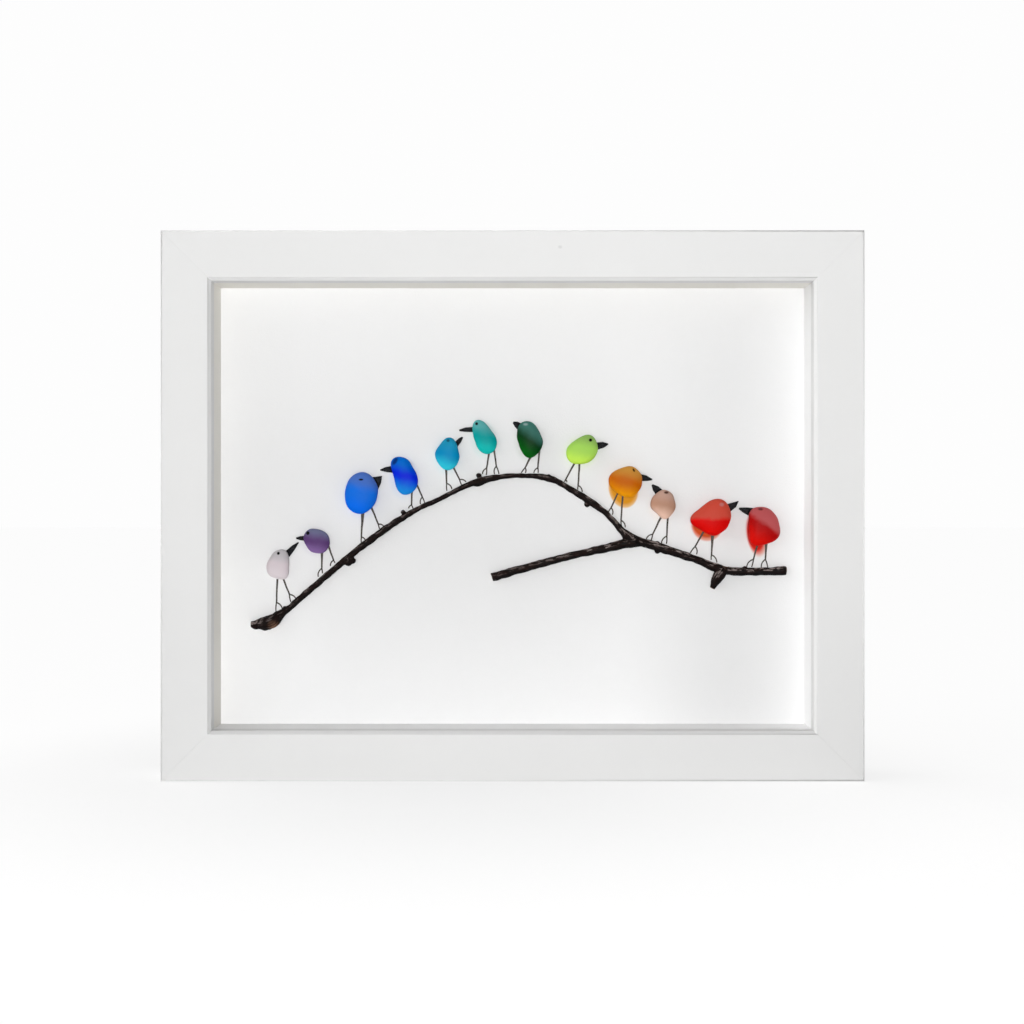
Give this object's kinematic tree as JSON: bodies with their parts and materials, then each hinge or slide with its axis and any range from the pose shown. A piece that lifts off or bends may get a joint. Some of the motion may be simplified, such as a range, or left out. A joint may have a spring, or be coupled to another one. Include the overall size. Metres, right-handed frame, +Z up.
{
  "type": "framed sea glass art",
  "caption": "White deep box frame with a recessed card that carries a curved twig and a row of frosted sea glass pebbles with stone beaks as birds. Stands or hangs.",
  "frame": {"origin": "on the surface that the frame stands on, under the middle of the frame's width and depth", "axes": "+Z up, +X to the right of someone who looks at the picture, which faces -Y"},
  "size_m": [0.341, 0.038, 0.267],
  "materials": {
    "white_paint": "smooth satin white paint on wood",
    "spacer_paint": "matt white paint on wood",
    "card_paper": "matt white mount card",
    "board_wood": "plain brown hardboard",
    "bark": "dry dark bark with a slight sheen",
    "slate": "dark worn stone",
    "steel": "bright steel",
    "zinc": "zinc-plated steel",
    "glass_white": "frosted white sea glass",
    "glass_purple": "frosted purple sea glass",
    "glass_blue": "frosted blue sea glass",
    "glass_deep_blue": "frosted deep blue sea glass",
    "glass_sky_blue": "frosted sky blue sea glass",
    "glass_teal": "frosted teal sea glass",
    "glass_dark_green": "frosted dark green sea glass",
    "glass_lime": "frosted lime sea glass",
    "glass_orange": "frosted orange sea glass",
    "glass_pink": "frosted pale pink sea glass",
    "glass_scarlet": "frosted scarlet sea glass",
    "glass_crimson": "frosted crimson sea glass"
  },
  "bodies": {
    "root": {"rail_top": "white_paint", "rail_bottom": "white_paint", "rail_left": "white_paint", "rail_right": "white_paint", "spacer_top": "spacer_paint", "spacer_bottom": "spacer_paint", "spacer_left": "spacer_paint", "spacer_right": "spacer_paint", "card": "card_paper", "back_board": "board_wood", "tab_top_1": "steel", "tab_top_2": "steel", "tab_bottom_1": "steel", "tab_bottom_2": "steel", "tab_left_1": "steel", "tab_left_2": "steel", "tab_right_1": "steel", "tab_right_2": "steel", "hanger": "zinc", "rivet_left": "steel", "rivet_right": "steel", "twig": "bark", "pebble_white": "glass_white", "pebble_purple": "glass_purple", "pebble_blue": "glass_blue", "pebble_deep_blue": "glass_deep_blue", "pebble_sky_blue": "glass_sky_blue", "pebble_teal": "glass_teal", "pebble_dark_green": "glass_dark_green", "pebble_lime": "glass_lime", "pebble_orange": "glass_orange", "pebble_pink": "glass_pink", "pebble_scarlet": "glass_scarlet", "pebble_crimson": "glass_crimson", "beak_white": "slate", "beak_purple": "slate", "beak_blue": "slate", "beak_deep_blue": "slate", "beak_sky_blue": "slate", "beak_teal": "slate", "beak_dark_green": "slate", "beak_lime": "slate", "beak_orange": "slate", "beak_pink": "slate", "beak_scarlet": "slate", "beak_crimson": "slate"}
  },
  "joints": []
}
